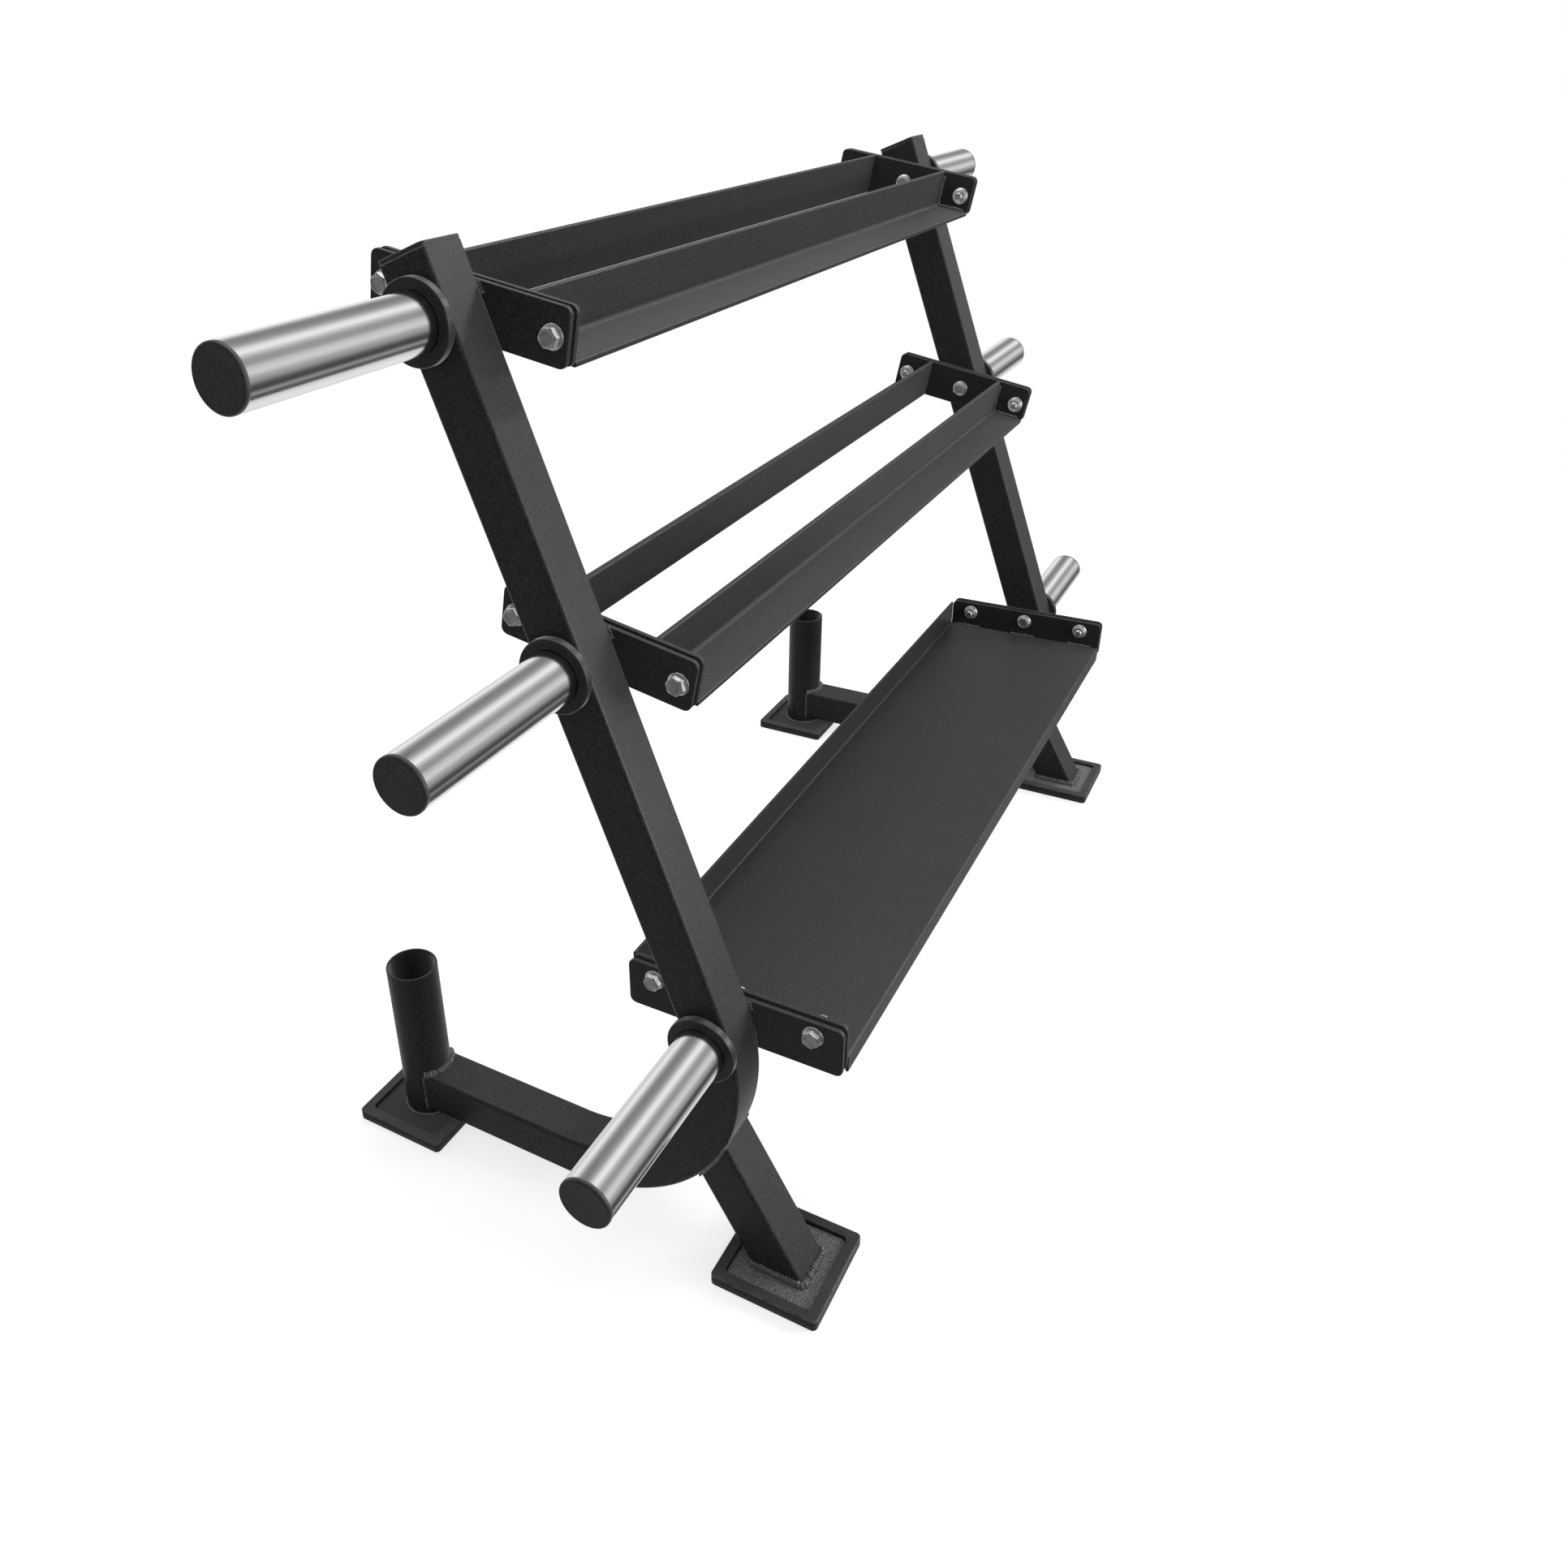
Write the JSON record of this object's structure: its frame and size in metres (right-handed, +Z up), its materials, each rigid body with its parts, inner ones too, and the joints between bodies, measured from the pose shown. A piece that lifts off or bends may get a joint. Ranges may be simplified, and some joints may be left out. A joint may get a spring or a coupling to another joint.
{
  "type": "dumbbell rack",
  "caption": "Free-standing tiered storage rack: leaning end frames, angle-rail shelves, a folded lower tray, chrome plate pegs with collars, upright bar holders and rubber feet.",
  "frame": {"origin": "on the floor, at the centre of the bounding box's underside", "axes": "+X along the shelves' length, to the right seen from the front; -Y is the front, +Y the rear; +Z up"},
  "size_m": [1.5462, 0.581, 0.981],
  "materials": {
    "powder_coat": "black fine-texture powder coat, satin",
    "chrome_plate": "bright chrome plate",
    "black_rubber": "matt moulded rubber",
    "black_plastic": "moulded black plastic, fine texture",
    "zinc_plate": "zinc plated, slightly worn"
  },
  "bodies": {
    "root": {"frame_tube_left": "powder_coat", "front_leg_left": "powder_coat", "upright_cap_left": "black_plastic", "bar_holder_left": "powder_coat", "foot_plate_front_left": "powder_coat", "rubber_foot_front_left": "black_rubber", "foot_plate_rear_left": "powder_coat", "rubber_foot_rear_left": "black_rubber", "bracket_top_left": "powder_coat", "end_plate_top_left": "powder_coat", "centre_bolt_top_left": "zinc_plate", "peg_top_left": "chrome_plate", "collar_top_left": "black_plastic", "end_cap_top_left": "black_plastic", "bracket_middle_left": "powder_coat", "end_plate_middle_left": "powder_coat", "centre_bolt_middle_left": "zinc_plate", "peg_middle_left": "chrome_plate", "collar_middle_left": "black_plastic", "end_cap_middle_left": "black_plastic", "bracket_bottom_left": "powder_coat", "end_plate_bottom_left": "powder_coat", "centre_bolt_bottom_left": "zinc_plate", "peg_bottom_left": "chrome_plate", "collar_bottom_left": "black_plastic", "end_cap_bottom_left": "black_plastic", "frame_tube_right": "powder_coat", "front_leg_right": "powder_coat", "upright_cap_right": "black_plastic", "bar_holder_right": "powder_coat", "foot_plate_front_right": "powder_coat", "rubber_foot_front_right": "black_rubber", "foot_plate_rear_right": "powder_coat", "rubber_foot_rear_right": "black_rubber", "bracket_top_right": "powder_coat", "end_plate_top_right": "powder_coat", "centre_bolt_top_right": "zinc_plate", "peg_top_right": "chrome_plate", "collar_top_right": "black_plastic", "end_cap_top_right": "black_plastic", "bracket_middle_right": "powder_coat", "end_plate_middle_right": "powder_coat", "centre_bolt_middle_right": "zinc_plate", "peg_middle_right": "chrome_plate", "collar_middle_right": "black_plastic", "end_cap_middle_right": "black_plastic", "bracket_bottom_right": "powder_coat", "end_plate_bottom_right": "powder_coat", "centre_bolt_bottom_right": "zinc_plate", "peg_bottom_right": "chrome_plate", "collar_bottom_right": "black_plastic", "end_cap_bottom_right": "black_plastic", "rail_top_front": "powder_coat", "rail_top_rear": "powder_coat", "rail_middle_front": "powder_coat", "rail_middle_rear": "powder_coat", "tray": "powder_coat"}
  },
  "joints": []
}
